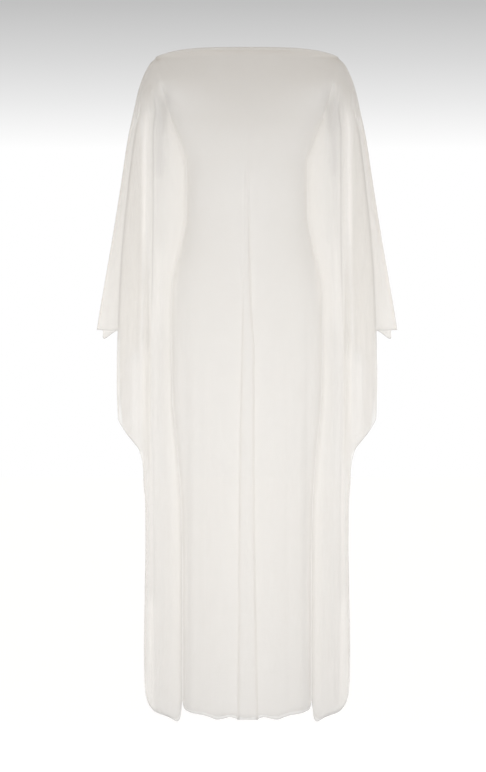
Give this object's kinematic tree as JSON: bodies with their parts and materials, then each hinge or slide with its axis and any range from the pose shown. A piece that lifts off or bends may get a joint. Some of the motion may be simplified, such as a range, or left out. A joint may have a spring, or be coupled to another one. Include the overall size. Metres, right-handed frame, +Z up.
{
  "type": "tulle kaftan",
  "caption": "Full-length sheer kaftan, hollow in its worn shape: straight body, slash neck, wide open wing sleeves and a centre-front pleat.",
  "frame": {"origin": "midway between the two shoulder points and level with them, where the wearer's shoulders carry the garment", "axes": "+Z up along the garment, the front faces -Y, +X to the right as seen from the front"},
  "size_m": [0.6476, 0.2274, 1.4482],
  "materials": {
    "tulle": "sheer ivory tulle, fine net with a soft sheen",
    "seam": "ivory tulle turned and stitched in several layers"
  },
  "bodies": {
    "root": {"front_body": "tulle", "back_body": "tulle", "front_wing_right": "tulle", "front_wing_left": "tulle", "back_wing_right": "tulle", "back_wing_left": "tulle", "neck_hem_front": "seam", "neck_hem_back": "seam", "side_seam_right": "seam", "side_seam_left": "seam", "arm_seam_right": "seam", "arm_seam_left": "seam"}
  },
  "joints": []
}
